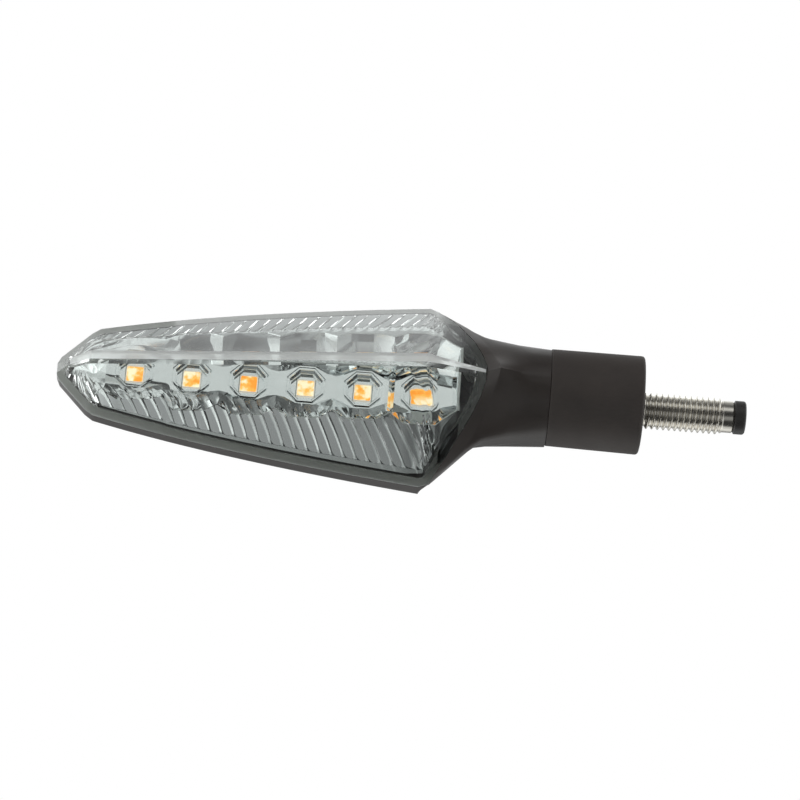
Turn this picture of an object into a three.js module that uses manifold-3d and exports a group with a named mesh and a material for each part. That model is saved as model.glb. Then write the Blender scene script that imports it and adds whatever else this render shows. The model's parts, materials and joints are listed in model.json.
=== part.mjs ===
// LED turn signal indicator for a motorcycle, with a flexible rubber stalk and a hollow M8 stud.
// Millimetres. X runs along the stud's axis, +X towards its free end; the lens faces -Y; +Z is up.
// The origin is on the stud's axis, in the end face of the stalk. The lamp is symmetric about z = 0.

import * as THREE from 'three';
import { mergeVertices } from 'three/addons/utils/BufferGeometryUtils.js';
import Module from 'manifold-3d';

const wasm = await Module();
wasm.setup();

// ---------------------------------------------------------------- driving dimensions

const GAP = 0.3; // clearance between pieces that touch

// lens: a faceted roof over a leaf-shaped rim, with a flat ridge strip along its middle
const RIM_Y = 1.9; // plane in which the lens ends
const LENS_LAND = 0.8; // height of the lens's upright edge
const LENS_WALL = 2.4; // width of the lens's edge, seen from the front
const LENS_SKIN = 2.3; // thickness of the facets, measured along Y
const RIDGE_HALF = 1.0; // half the width of the ridge strip
const NOSE = [[-127.2, 1.2], [-126.5, 2.7]];
const TIP_CORNER = [[-120.4, 9.1], [-118.6, 10.4]];
const EDGE_CONTROL = [-90.6, 17.2]; // bows the long edge
const SHOULDER = [[-47.0, 21.7], [-44.9, 20.9]];
const EDGE_STEPS = 8;
// the lens's end beside the neck: x, y, z of its edge
const LENS_END = [[-41.0, -4.2, 15.5], [-37.0, -8.6, 9.0], [-35.2, -10.4, 5.0], [-34.2, -12.3, 1.5]];
// the ridge line, nose to neck: x, y
const RIDGE = [[-124.2, -2.6], [-119.6, -6.5], [-47.3, -17.2], [-34.4, -12.9]];

// light sources
const LED_COUNT = 6;
const LED_FIRST_X = -110.1;
const LED_PITCH = 12.4;
const LED_SIZE = 4.0;
const LED_FRONT_Y = 1.5;
const LED_BACK_Y = 2.9;

// reflector
const PLATE_Y = -0.3; // the flat floor between the cups
const CUP_MOUTH = 8.4; // width of each octagonal cup at the floor
const CUP_SEAT = 6.7; // and round the light source
const CUP_SEAT_Y = 1.2;
const REFLECTOR_INSET = 2.8; // from the lens's outline
const REFLECTOR_END_X = -39.6;
const REFLECTOR_SKIN = 1.3;
const CREST_HALF = [6.6, 8.4, 9.0, 9.3, 9.4, 10.0]; // half height of each scalloped bowl
const VALLEY_DROP = 1.3; // the scallops' valleys lie this much nearer the middle
const BOWL_FLOOR_HALF = 4.4;

// circuit board
const BOARD_Y = 3.2;
const BOARD_THICK = 1.2;
const BOARD_OUTLINE = [[-115.5, 4.6], [-112.0, 6.2], [-46.0, 9.4], [-43.0, 8.0]];
const SCREW_X = [LED_FIRST_X + 1.5 * LED_PITCH, LED_FIRST_X + 3.5 * LED_PITCH];

// rear housing
const WALL_BACK_Y = 4.3; // the side wall stands upright as far as this
const BACK_LINE = [[-127.2, 6.6], [-47.0, 11.0], [-41.0, 11.0], [-35.0, 9.6]];
const SHELL = 1.7;
const CAVITY_INSET = 3.3;
const SEAM_X = -20.4;
const NECK_END_X = SEAM_X - GAP / 2; // where the neck meets the rubber
// rings round the collar and neck, upper half: points from front to side as x, y, z, where the back wall
// starts as y, z, and the middle of the back as x, y
const NECK_RINGS = [
  {
    front: [[-34.0, -12.9, 0], [-34.2, -12.3, 1.5], [-35.2, -10.4, 5.0], [-37.0, -8.6, 9.0],
      [-41.0, -4.2, 15.5], [-44.9, 1.1, 20.9], [-44.9, 2.3, 20.9]],
    wall: [4.3, 18.0],
    back: [-44.9, 11.0],
    flat: 0.55,
  },
  {
    front: [[-31.4, -15.0, 0], [-31.6, -13.9, 1.6], [-32.6, -11.0, 4.7], [-34.3, -8.4, 8.6],
      [-37.2, -3.6, 14.2], [-42.4, -0.2, 18.8], [-42.4, 2.3, 18.2]],
    wall: [4.3, 15.2],
    back: [-40.5, 11.1],
    flat: 0.55,
  },
  {
    front: [[-27.2, -13.6, 0], [-27.5, -13.1, 1.9], [-28.8, -11.2, 5.2], [-31.2, -8.2, 9.2],
      [-34.0, -4.2, 12.8], [-36.0, 0.5, 12.0], [-36.0, 2.2, 11.2]],
    wall: [3.6, 9.4],
    back: [-34.5, 9.8],
    flat: 0.35,
  },
  {
    front: [[-24.6, -13.2, 0], [-24.7, -12.9, 2.6], [-25.2, -11.5, 5.8], [-26.4, -8.9, 8.6],
      [-27.6, -5.3, 11.0], [-28.6, -1.2, 11.2], [-28.6, -0.4, 10.9]],
    wall: [0.4, 10.2],
    back: [-28.0, 8.6],
    flat: 0.15,
  },
  {
    front: [[NECK_END_X, -13.1, 0], [NECK_END_X, -12.8, 2.7], [NECK_END_X, -11.6, 5.6],
      [NECK_END_X, -9.5, 8.0], [NECK_END_X, -6.4, 9.8], [NECK_END_X, -2.7, 10.4],
      [NECK_END_X, -2.0, 10.45]],
    wall: [-1.4, 10.4],
    back: [NECK_END_X, 7.7],
    flat: 0.1,
  },
];
// sections of the shell past the widest point, inside the neck: x, half height at the front, at the wall
const SHELL_ENDS = [[-42.4, 18.1, 15.1], [-38.0, 12.4, 11.0]];
const SPIGOT_RADIUS = 6.8;
const SPIGOT_LENGTH = 3.8;
const SPIGOT_Y = -2.7;

// rubber stalk: x, front y, back y, half height, power
const STALK = [[SEAM_X + GAP / 2, -12.9, 7.5, 10.2, 2.1], [-19.8, -13.1, 7.7, 10.4, 2.1],
  [-10, -12.9, 8.1, 10.5, 2.1], [-0.8, -12.8, 8.4, 10.6, 2.1], [0, -12.1, 7.7, 9.9, 2.1]];

// hollow stud
const STUD_RADIUS = 3.97;
const STUD_ROOT = 3.35;
const STUD_BORE = 2.5;
const THREAD_PITCH = 1.25;
const THREAD_START_X = 0.5;
const THREAD_TURNS = 14;
const STUD_END_X = 20.3;
const STUD_TIP_RADIUS = 3.45;
const FLANGE_RADIUS = 7.0;
const FLANGE_X = [-4.6, -1.8];
const BUSH_X = [14.2, STUD_END_X + GAP, 22.9];
const BUSH_RADIUS = 3.65;

// leads, side by side in Z
const LEAD_RADIUS = 0.6;
const LEAD_Z = 1.05;
const LEAD_ROUTE = [[-51.5, 5.6], [-48.5, 6.2], [-45, 6.4], [-40, 6.4], [-35, 6.3], [-31, 4.9], [-26, 2.2],
  [-22, 0.5], [-18, 0], [-12, 0], [-5, 0], [2, 0], [8, 0], [13.6, 0]];
const CHANNEL_RADIUS = 2.6;
const CHANNEL = [[-52, 6.4], [-34, 6.4], [-21.5, 0], [-15, 0]];
const PLUG_X = [-41.8, -37.0];
const CONTACT_RADIUS = 0.55;

// ---------------------------------------------------------------- helpers

function toSolid(geometry) {
  const bare = geometry.clone();
  bare.deleteAttribute('normal');
  bare.deleteAttribute('uv');
  const merged = mergeVertices(bare, 1e-5);
  return new wasm.Manifold(new wasm.Mesh({
    numProp: 3,
    vertProperties: new Float32Array(merged.attributes.position.array),
    triVerts: new Uint32Array(merged.index.array),
  }));
}

function toGeometry(solid) {
  const mesh = solid.getMesh();
  const geometry = new THREE.BufferGeometry();
  geometry.setAttribute('position', new THREE.BufferAttribute(new Float32Array(mesh.vertProperties), 3));
  geometry.setIndex(new THREE.BufferAttribute(new Uint32Array(mesh.triVerts), 1));
  geometry.computeVertexNormals();
  return geometry;
}

const joined = (solids) => solids.reduce((sum, solid) => sum.add(solid));
const cut = (solid, tools) => tools.reduce((left, tool) => left.subtract(tool), solid);

// y at x on a chain of [x, y] points
function along(chain, x) {
  const last = chain.length - 1;
  const i = Math.min(Math.max(chain.findIndex((p) => p[0] > x), 1), last);
  const [a, b] = x >= chain[last][0] ? [chain[last - 1], chain[last]] : [chain[i - 1], chain[i]];
  return a[1] + (b[1] - a[1]) * (x - a[0]) / (b[0] - a[0]);
}

// a closed body through rings of [x, y, z] points, each ring with the same number of points
function loft(rings) {
  const count = rings[0].length;
  const points = rings.flat();
  const index = [];
  for (let r = 0; r + 1 < rings.length; r += 1) {
    for (let i = 0; i < count; i += 1) {
      const a = r * count + i;
      const b = r * count + (i + 1) % count;
      index.push(a, b, b + count, a, b + count, a + count);
    }
  }
  [0, rings.length - 1].forEach((r) => {
    const ring = rings[r];
    const middle = [0, 1, 2].map((k) => ring.reduce((sum, p) => sum + p[k], 0) / count);
    const centre = points.push(middle) - 1;
    for (let i = 0; i < count; i += 1) {
      const a = r * count + i;
      const b = r * count + (i + 1) % count;
      index.push(...(r === 0 ? [b, a, centre] : [a, b, centre]));
    }
  });
  const volume = index.reduce((sum, _, t) => {
    if (t % 3) return sum;
    const [a, b, c] = [0, 1, 2].map((k) => new THREE.Vector3(...points[index[t + k]]));
    return sum + a.dot(b.cross(c));
  }, 0);
  if (volume < 0) index.reverse();
  const geometry = new THREE.BufferGeometry();
  geometry.setAttribute('position', new THREE.Float32BufferAttribute(points.flat(), 3));
  geometry.setIndex(index);
  return geometry;
}

// an outline of [x, z] points as a plate between two Y levels
function plate(outline, y0, y1) {
  return loft([outline.map(([x, z]) => [x, y0, z]), outline.map(([x, z]) => [x, y1, z])]);
}

function cylinderX(radius, x0, x1, y = 0, z = 0, sides = 40) {
  const geometry = new THREE.CylinderGeometry(radius, radius, x1 - x0, sides);
  return geometry.rotateZ(-Math.PI / 2).translate((x0 + x1) / 2, y, z);
}

function cylinderY(radius, y0, y1, x, z, sides = 24) {
  return new THREE.CylinderGeometry(radius, radius, y1 - y0, sides).translate(x, (y0 + y1) / 2, z);
}

function block(x0, x1, y0, y1, z0, z1) {
  const geometry = new THREE.BoxGeometry(x1 - x0, y1 - y0, z1 - z0);
  return geometry.translate((x0 + x1) / 2, (y0 + y1) / 2, (z0 + z1) / 2);
}

// a half outline of [x, z] points, nose to neck with z above 0, made whole
function mirrored(half) {
  return [...half, ...[...half].reverse().map(([x, z]) => [x, -z])];
}

// each corner of a closed outline moved inwards by a distance
function inset(outline, distance) {
  const count = outline.length;
  return outline.map(([x, z], i) => {
    const [px, pz] = outline[(i + count - 1) % count];
    const [nx, nz] = outline[(i + 1) % count];
    const before = new THREE.Vector2(x - px, z - pz).normalize();
    const after = new THREE.Vector2(nx - x, nz - z).normalize();
    const corner = new THREE.Vector2(before.y + after.y, -before.x - after.x);
    const scale = distance / (1 + before.dot(after));
    return [x + corner.x * scale, z + corner.y * scale];
  });
}

// a rounded section across X, going round from the front; the power shapes only its front half
function section([x, front, back, half, power = 2], sides = 48) {
  const centre = (front + back) / 2;
  const reach = (back - front) / 2;
  return Array.from({ length: sides }, (_, i) => {
    const a = i / sides * 2 * Math.PI;
    const bend = 2 / (Math.cos(a) > 0 ? power : 2.1);
    const bent = (value) => Math.sign(value) * Math.abs(value) ** bend;
    return [x, centre - reach * bent(Math.cos(a)), half * bent(Math.sin(a))];
  });
}

const round = (x, y, radius, sides) => section([x, y - radius, y + radius, radius], sides);

const regular = (sides, across, turn = 0) => Array.from({ length: sides }, (_, i) => {
  const a = turn + (i + 0.5) / sides * 2 * Math.PI;
  const radius = across / 2 / Math.cos(Math.PI / sides);
  return [radius * Math.cos(a), radius * Math.sin(a)];
});

// ---------------------------------------------------------------- lens outline

// stations round the upper half of the lens: the edge point and the ridge point that it is joined to
function lensStations() {
  const land = RIM_Y - LENS_LAND;
  const edge = new THREE.QuadraticBezierCurve(...[TIP_CORNER[1], EDGE_CONTROL, SHOULDER[0]]
    .map(([x, z]) => new THREE.Vector2(x, z)));
  const tip = [...NOSE, TIP_CORNER[0]].map(([x, z], i) => {
    const ridgeX = THREE.MathUtils.lerp(RIDGE[0][0], RIDGE[1][0], i / 3);
    return { rim: [x, land, z], ridge: [ridgeX, along(RIDGE, ridgeX), RIDGE_HALF * (0.7 + i / 10)] };
  });
  const sides = edge.getSpacedPoints(EDGE_STEPS).map((p, i) => {
    const ridgeX = THREE.MathUtils.lerp(RIDGE[1][0], RIDGE[2][0], i / EDGE_STEPS);
    return { rim: [p.x, land, p.y], ridge: [ridgeX, along(RIDGE, ridgeX), RIDGE_HALF] };
  });
  const end = [[SHOULDER[1][0], land, SHOULDER[1][1]], ...LENS_END].map((rim, i) => {
    const t = i / LENS_END.length;
    const ridgeX = THREE.MathUtils.lerp(RIDGE[2][0] + 0.5, RIDGE[3][0], t ** 1.5);
    return { rim, ridge: [ridgeX, along(RIDGE, ridgeX), RIDGE_HALF * (1 - 0.6 * t)] };
  });
  return [...tip, ...sides, ...end];
}

const STATIONS = lensStations();
const LENS_OUTLINE = mirrored(STATIONS.map(({ rim }) => [rim[0], rim[2]]));
const rimHalf = (x) => along(STATIONS.slice(0, -4).map(({ rim }) => [rim[0], rim[2]]), x);

// the lens's outer face at x, z
function lensFace(x, z) {
  const ridgeY = along(RIDGE, x);
  const slope = (RIM_Y - LENS_LAND - ridgeY) / (rimHalf(Math.min(x, SHOULDER[0][0])) - RIDGE_HALF);
  return ridgeY + slope * Math.max(Math.abs(z) - RIDGE_HALF, 0);
}

// the roof over the lens's outline, closed at a back plane
function lensRoof(outline, drop, edgeDrop, backY) {
  const half = outline.length / 2;
  return loft(STATIONS.map(({ rim, ridge }, i) => {
    const [x, z] = outline[i];
    const ridgeX = Math.min(Math.max(ridge[0], outline[0][0] + 0.5), outline[half - 1][0] - 0.3);
    const y = rim[1] + edgeDrop;
    const top = [[x, backY, z], [x, y, z], [ridgeX, ridge[1] + drop, Math.min(ridge[2], z * 0.6)]];
    return [...top, ...[...top].reverse().map(([px, py, pz]) => [px, py, -pz])];
  }));
}

// ---------------------------------------------------------------- lamp

function lens() {
  const outer = toSolid(lensRoof(LENS_OUTLINE, 0, 0, RIM_Y));
  const inner = toSolid(lensRoof(inset(LENS_OUTLINE, LENS_WALL), LENS_SKIN, 0.5, RIM_Y + 1));
  return outer.subtract(inner);
}

function lensSeal() {
  const [y0, y1] = [RIM_Y + GAP, RIM_Y + 0.9];
  const outer = toSolid(plate(inset(LENS_OUTLINE, 1.0), y0, y1));
  return outer.subtract(toSolid(plate(inset(LENS_OUTLINE, 2.2), y0 - 1, y1 + 1)));
}

// how far back the shell reaches at x: a straight back that turns in at the nose
const backY = (x) => along(BACK_LINE, x) - 1.8 * Math.max(1 - (x - NOSE[0][0]) / 6, 0) ** 2;

// the back of a section, from its side wall round to the middle, as y and z
function backCurve([wallY, half], back, flat) {
  return [0, 30, 60, 90].map((degrees) => {
    const a = THREE.MathUtils.degToRad(degrees);
    return [wallY + (back - wallY) * Math.sin(a), half * (flat + (1 - flat) * Math.cos(a))];
  });
}

const flipped = (points) => [...points].reverse().map(([x, y, z]) => [x, y, -z]);

// the shell behind sections of x, half height in front and half height at the wall, its back in by a skin
function shellBehind(sections, frontY, skin) {
  return loft(sections.map(([x, half, wallHalf]) => {
    const back = backCurve([WALL_BACK_Y, wallHalf], backY(x) - skin, 0.55);
    const upper = [[x, frontY, half], ...back.map(([y, z]) => [x, y, z])];
    return [...upper, ...flipped(upper)];
  }));
}

function neckRing({ front, wall, back: [backX, backMiddleY], flat }) {
  const sideX = front[front.length - 1][0];
  const curve = backCurve(wall, backMiddleY, flat);
  const behind = curve.map(([y, z], i) => [THREE.MathUtils.lerp(sideX, backX, i / 3), y, z]);
  const upper = [...front.slice(1), ...behind];
  return [front[0], ...upper, [backX, backMiddleY + 0.15, 0], ...flipped(upper)];
}

function rearHousing() {
  const straight = STATIONS.slice(0, -LENS_END.length - 1).map(({ rim: [x, , z] }) => [x, z, z]);
  const [shoulderX, shoulderHalf] = SHOULDER[1];
  const sections = [...straight, [shoulderX, shoulderHalf, NECK_RINGS[0].wall[1]], ...SHELL_ENDS];
  const shell = shellBehind(sections, RIM_Y + GAP, 0);
  const inner = inset(LENS_OUTLINE, CAVITY_INSET).slice(0, STATIONS.length);
  const cavity = shellBehind(inner.map(([x, z]) => [x, z, z]), RIM_Y - 1, SHELL);
  const neck = loft(NECK_RINGS.map(neckRing));
  const spigot = cylinderX(SPIGOT_RADIUS, SEAM_X - 2, SEAM_X + SPIGOT_LENGTH, SPIGOT_Y);
  const lensRoom = plate(inset(LENS_OUTLINE, -GAP), -30, RIM_Y + GAP);
  const groove = toSolid(plate(inset(LENS_OUTLINE, 0.7), RIM_Y, RIM_Y + 1.2))
    .subtract(toSolid(plate(inset(LENS_OUTLINE, 2.5), RIM_Y - 1, RIM_Y + 2)));
  const channel = loft(CHANNEL.map(([x, y]) => round(x, y, CHANNEL_RADIUS, 24)));
  const body = joined([shell, neck, spigot].map(toSolid));
  return cut(body, [toSolid(lensRoom), groove, toSolid(cavity), toSolid(channel)]);
}

const ledX = (i) => LED_FIRST_X + i * LED_PITCH;

// y of the reflector's crest at x, close under the lens's inner face
const crestY = (x, half) => lensFace(x, half) + LENS_SKIN + 2 * GAP;

// the reflector's front without its bowls, moved back by drop and in by margin
function reflectorFront(drop, margin) {
  const xs = [-121.5, -116.3, -104, -92, -80, -67, -54.4, -48.0, -44.5, REFLECTOR_END_X - margin];
  const edge = inset(LENS_OUTLINE, REFLECTOR_INSET).slice(0, STATIONS.length - 2);
  const crests = [[-121.5, 3.0], ...CREST_HALF.map((half, i) => [ledX(i), half])];
  return loft(xs.map((x, i) => {
    const taper = [0.35, 1, 1, 1, 1, 1, 1, 1, 0.9, 0.62][i];
    const half = Math.max(along(edge, x) - margin, 1);
    const crest = Math.min(along(crests, x) * taper + 0.2, half - 0.6);
    const y = Math.min(crestY(x, crest), RIM_Y - 0.8) + drop;
    const foot = RIM_Y + drop;
    const top = [[x, foot, half], [x, foot - 0.5, half], [x, y, Math.max(crest - margin, 0.4)]];
    return [...top, ...[...top].reverse().map(([px, py, pz]) => [px, py, -pz])];
  }));
}

// one scalloped bowl, grown by a margin, open towards the lens
function bowl(i, margin) {
  const crest = CREST_HALF[i];
  const depth = PLATE_Y - crestY(ledX(i), crest);
  const last = i === LED_COUNT - 1;
  const [left, right] = [-LED_PITCH / 2, last ? 8.0 : LED_PITCH / 2];
  const ring = (y) => {
    const t = (PLATE_Y - y) / Math.max(depth, 1.5);
    const half = BOWL_FLOOR_HALF + (crest - BOWL_FLOOR_HALF) * t + margin;
    const side = half - VALLEY_DROP * Math.max(t, 0.3);
    const flat = 3.2 + margin / 2;
    const slant = last ? 0.8 * (1 - t) : 0;
    const [from, to] = [left - margin / 2 + slant, right + margin / 2 - slant];
    const outline = mirrored([[from, side], [-flat, half], [flat, half], [to, side]]);
    return outline.map(([x, z]) => [ledX(i) + x, y, z]);
  };
  return toSolid(loft([ring(PLATE_Y + margin), ring(-16)]));
}

function reflector() {
  const front = toSolid(reflectorFront(0, 0));
  const hollow = toSolid(reflectorFront(REFLECTOR_SKIN + 0.3, REFLECTOR_SKIN));
  const cells = Array.from({ length: LED_COUNT }, (_, i) => i);
  const octagon = (i, across, y) => regular(8, across).map(([x, z]) => [ledX(i) + x, y, z]);
  const cupBlocks = cells.map((i) => toSolid(loft([octagon(i, 10.6, PLATE_Y), octagon(i, 9.4, LED_BACK_Y)])));
  const bosses = SCREW_X.map((x) => toSolid(cylinderY(1.9, PLATE_Y, LED_BACK_Y, x, 0)));
  const shell = front.subtract(hollow);
  const walls = cells.map((i) => bowl(i, REFLECTOR_SKIN).intersect(front));
  const bowls = cells.map((i) => bowl(i, 0));
  const cups = cells.map((i) => {
    const rings = [octagon(i, CUP_MOUTH, PLATE_Y - 0.2), octagon(i, CUP_SEAT, CUP_SEAT_Y)];
    return toSolid(loft(rings));
  });
  const windows = cells.map((i) => {
    const half = LED_SIZE / 2 + GAP;
    return toSolid(block(ledX(i) - half, ledX(i) + half, 0, LED_BACK_Y + 1, -half, half));
  });
  const screwHoles = SCREW_X.map((x) => toSolid(cylinderY(1.05, 0.7, LED_BACK_Y + 1, x, 0, 16)));
  const body = joined([shell, ...walls, ...cupBlocks, ...bosses]);
  return cut(body, [...bowls, ...cups, ...windows, ...screwHoles]);
}

function board() {
  const back = BOARD_Y + BOARD_THICK;
  const solid = toSolid(plate(mirrored(BOARD_OUTLINE), BOARD_Y, back));
  return cut(solid, SCREW_X.map((x) => toSolid(cylinderY(1.05, BOARD_Y - 1, back + 1, x, 0, 16))));
}

// a square package with a shallow round-cornered well for its phosphor
function led(i) {
  const half = LED_SIZE / 2;
  const body = toSolid(block(ledX(i) - half, ledX(i) + half, LED_FRONT_Y, LED_BACK_Y, -half, half));
  const well = regular(8, LED_SIZE - 0.8).map(([x, z]) => [ledX(i) + x, z]);
  return body.subtract(toSolid(plate(well, LED_FRONT_Y - 1, LED_FRONT_Y + 0.3)));
}

const COMPONENT_Y = BOARD_Y + BOARD_THICK + GAP;

// a surface-mounted part on the back of the board: centre x, z, then its length, width and height
const component = (x, z, long, wide, high) => toSolid(block(x - long / 2, x + long / 2,
  COMPONENT_Y, COMPONENT_Y + high, z - wide / 2, z + wide / 2));

function screw(x) {
  const head = COMPONENT_Y;
  const profile = [[0, 1.1], [0.75, 1.1], [0.75, head], [1.6, head], [1.6, head + 0.7], [1.2, head + 1.0],
    [0.8, head + 1.0], [0.8, head + 0.5], [0, head + 0.5]].map(([r, y]) => new THREE.Vector2(r, y));
  return toSolid(new THREE.LatheGeometry(profile, 20).translate(x, 0, 0));
}

function solderJoint(side) {
  const profile = [[0, 0], [0.9, 0], [0.7, 0.35], [0.3, 0.6], [0, 0.6]]
    .map(([r, y]) => new THREE.Vector2(r, COMPONENT_Y + y));
  return toSolid(new THREE.LatheGeometry(profile, 16).translate(LEAD_ROUTE[0][0] - 1.6, 0, side * LEAD_Z));
}

// ---------------------------------------------------------------- leads, stalk and stud

function lead(side) {
  const route = LEAD_ROUTE.map(([x, y]) => new THREE.Vector3(x, y, side * LEAD_Z));
  const circle = new THREE.Shape(regular(8, 2 * LEAD_RADIUS).map(([x, y]) => new THREE.Vector2(x, y)));
  return toSolid(new THREE.ExtrudeGeometry(circle, {
    extrudePath: new THREE.CatmullRomCurve3(route),
    steps: 40,
    bevelEnabled: false,
  }));
}

function pottingPlug() {
  const y = CHANNEL[0][1];
  const [start, end] = PLUG_X;
  const plug = toSolid(cylinderX(CHANNEL_RADIUS - GAP, start, end, y, 0, 24));
  const hole = (side) => toSolid(cylinderX(LEAD_RADIUS + GAP, start - 1, end + 1, y, side * LEAD_Z, 12));
  return cut(plug, [hole(-1), hole(1)]);
}

function rubberStalk() {
  const body = toSolid(loft(STALK.map((row) => section(row))));
  const [flange0, flange1] = FLANGE_X;
  return cut(body, [
    cylinderX(SPIGOT_RADIUS + GAP, SEAM_X - 2, SEAM_X + SPIGOT_LENGTH + GAP, SPIGOT_Y),
    cylinderX(CHANNEL_RADIUS, SEAM_X, flange0, 0, 0, 24),
    cylinderX(FLANGE_RADIUS + GAP, flange0 - GAP, flange1 + GAP),
    cylinderX(STUD_RADIUS + GAP, flange1, 2, 0, 0, 24),
  ].map(toSolid));
}

function mountingStud() {
  const profile = [[STUD_BORE, FLANGE_X[0]], [FLANGE_RADIUS, FLANGE_X[0]], [FLANGE_RADIUS, FLANGE_X[1]],
    [STUD_ROOT, FLANGE_X[1]]];
  for (let turn = 0; turn < THREAD_TURNS; turn += 1) {
    const x = THREAD_START_X + turn * THREAD_PITCH;
    const crest = [0.42, 0.58].map((part) => [STUD_RADIUS, x + part * THREAD_PITCH]);
    profile.push([STUD_ROOT, x], ...crest);
  }
  profile.push([STUD_TIP_RADIUS, THREAD_START_X + THREAD_TURNS * THREAD_PITCH]);
  profile.push([STUD_TIP_RADIUS, STUD_END_X - 0.3], [STUD_TIP_RADIUS - 0.3, STUD_END_X]);
  profile.push([STUD_BORE, STUD_END_X], profile[0]);
  const points = profile.map(([r, x]) => new THREE.Vector2(r, x));
  return toSolid(new THREE.LatheGeometry(points, 24).rotateZ(-Math.PI / 2));
}

function endBush() {
  const [stem, head, end] = BUSH_X;
  const rings = [[head, BUSH_RADIUS], [end - 0.5, BUSH_RADIUS], [end, BUSH_RADIUS - 0.5]];
  const cap = toSolid(loft(rings.map(([x, radius]) => round(x, 0, radius, 32))));
  const plug = toSolid(cylinderX(STUD_BORE - GAP, stem, head + 0.5, 0, 0, 24));
  const hole = (side) => toSolid(cylinderX(CONTACT_RADIUS + GAP, stem - 1, end + 1, 0, side * LEAD_Z, 12));
  return cut(cap.add(plug), [hole(-1), hole(1)]);
}

function contact(side) {
  const [start, , end] = BUSH_X;
  const mouth = end - 0.4;
  const floor = mouth - 3;
  const socket = 0.32;
  const outside = [[0, start], [CONTACT_RADIUS, start], [CONTACT_RADIUS, mouth]];
  const profile = [...outside, [socket, mouth], [socket, floor], [0, floor]];
  const points = profile.map(([r, x]) => new THREE.Vector2(r, x));
  return toSolid(new THREE.LatheGeometry(points, 12).rotateZ(-Math.PI / 2).translate(0, 0, side * LEAD_Z));
}

// ---------------------------------------------------------------- assembly

const material = (color, roughness, metalness, opacity = 1) => new THREE.MeshStandardMaterial({
  color, roughness, metalness, opacity, transparent: opacity < 1, flatShading: true,
});

const MATERIALS = {
  housing: material(0x2e2a28, 0.45, 0),
  rubber: material(0x3a3532, 0.75, 0),
  clear: material(0xdfe6e2, 0.05, 0, 0.35),
  chrome: material(0xdfe3e4, 0.12, 1),
  board: material(0x1f5a3a, 0.6, 0),
  phosphor: material(0xffb24a, 0.5, 0),
  chip: material(0x222222, 0.5, 0),
  ceramic: material(0xb9a27c, 0.5, 0),
  steel: material(0xc9c6c0, 0.3, 1),
  solder: material(0xb8babc, 0.35, 1),
  sealant: material(0x3c3c3c, 0.6, 0),
  redLead: material(0xb02a22, 0.5, 0),
  blackLead: material(0x202020, 0.5, 0),
  brass: material(0xc9a14a, 0.3, 1),
};

const indicator = new THREE.Group();

function place(name, solid, look) {
  const mesh = new THREE.Mesh(toGeometry(solid), MATERIALS[look].clone());
  mesh.name = name;
  indicator.add(mesh);
}

place('lens', lens(), 'clear');
place('lens_seal', lensSeal(), 'sealant');
place('rear_housing', rearHousing(), 'housing');
place('reflector', reflector(), 'chrome');
place('circuit_board', board(), 'board');
for (let i = 0; i < LED_COUNT; i += 1) place(`led_${i + 1}`, led(i), 'phosphor');
place('driver_chip', component(-60, 0, 5, 4, 1.5), 'chip');
[-104, -98, -73].forEach((x, i) => place(`resistor_${i + 1}`, component(x, 0, 3.2, 1.6, 0.6), 'chip'));
place('diode', component(-80, 0, 4.3, 2.6, 1.4), 'chip');
place('capacitor', component(-86.5, 0, 3.2, 2.5, 1.2), 'ceramic');
SCREW_X.forEach((x, i) => place(`board_screw_${i + 1}`, screw(x), 'steel'));
place('live_solder_joint', solderJoint(1), 'solder');
place('ground_solder_joint', solderJoint(-1), 'solder');
place('live_lead', lead(1), 'redLead');
place('ground_lead', lead(-1), 'blackLead');
place('potting_plug', pottingPlug(), 'sealant');
place('rubber_stalk', rubberStalk(), 'rubber');
place('mounting_stud', mountingStud(), 'steel');
place('stud_end_bush', endBush(), 'housing');
place('live_contact', contact(1), 'brass');
place('ground_contact', contact(-1), 'brass');

export default indicator;
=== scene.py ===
"""Looks of the turn signal indicator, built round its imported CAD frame.

Lengths are written in millimetres and turned into metres when a mesh is made.
"""
import json
import math

import bmesh
import bpy
import numpy as np
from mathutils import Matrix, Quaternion, Vector


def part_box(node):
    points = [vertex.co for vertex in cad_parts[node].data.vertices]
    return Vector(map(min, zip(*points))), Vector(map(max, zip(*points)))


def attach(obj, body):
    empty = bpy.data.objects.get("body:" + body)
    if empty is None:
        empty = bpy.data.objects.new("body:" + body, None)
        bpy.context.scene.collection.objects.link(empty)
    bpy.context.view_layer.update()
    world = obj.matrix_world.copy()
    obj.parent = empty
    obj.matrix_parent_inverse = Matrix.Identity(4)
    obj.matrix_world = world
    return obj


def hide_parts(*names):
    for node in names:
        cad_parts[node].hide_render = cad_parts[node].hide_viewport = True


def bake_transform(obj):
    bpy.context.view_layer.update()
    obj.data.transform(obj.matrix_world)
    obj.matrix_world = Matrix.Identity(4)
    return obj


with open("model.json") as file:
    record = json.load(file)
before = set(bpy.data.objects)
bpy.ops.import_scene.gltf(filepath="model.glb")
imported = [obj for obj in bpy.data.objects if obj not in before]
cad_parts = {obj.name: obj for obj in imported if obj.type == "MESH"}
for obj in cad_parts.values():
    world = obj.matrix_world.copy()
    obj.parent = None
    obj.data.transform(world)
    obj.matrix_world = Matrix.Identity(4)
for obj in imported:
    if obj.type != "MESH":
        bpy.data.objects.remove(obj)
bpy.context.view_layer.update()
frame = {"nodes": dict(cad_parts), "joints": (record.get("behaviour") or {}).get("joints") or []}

MM = 0.001


# ---------------------------------------------------------------- camera

CAMERA_AZIMUTH = math.radians(-0.4)
CAMERA_ELEVATION = math.radians(-27.0)
CAMERA_ROLL = math.radians(4.2)
CAMERA_DISTANCE = 800 * MM
CAMERA_TARGET = Vector((-52.3, -2.0, -3.0)) * MM
CAMERA_LENS = 166.2


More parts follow.
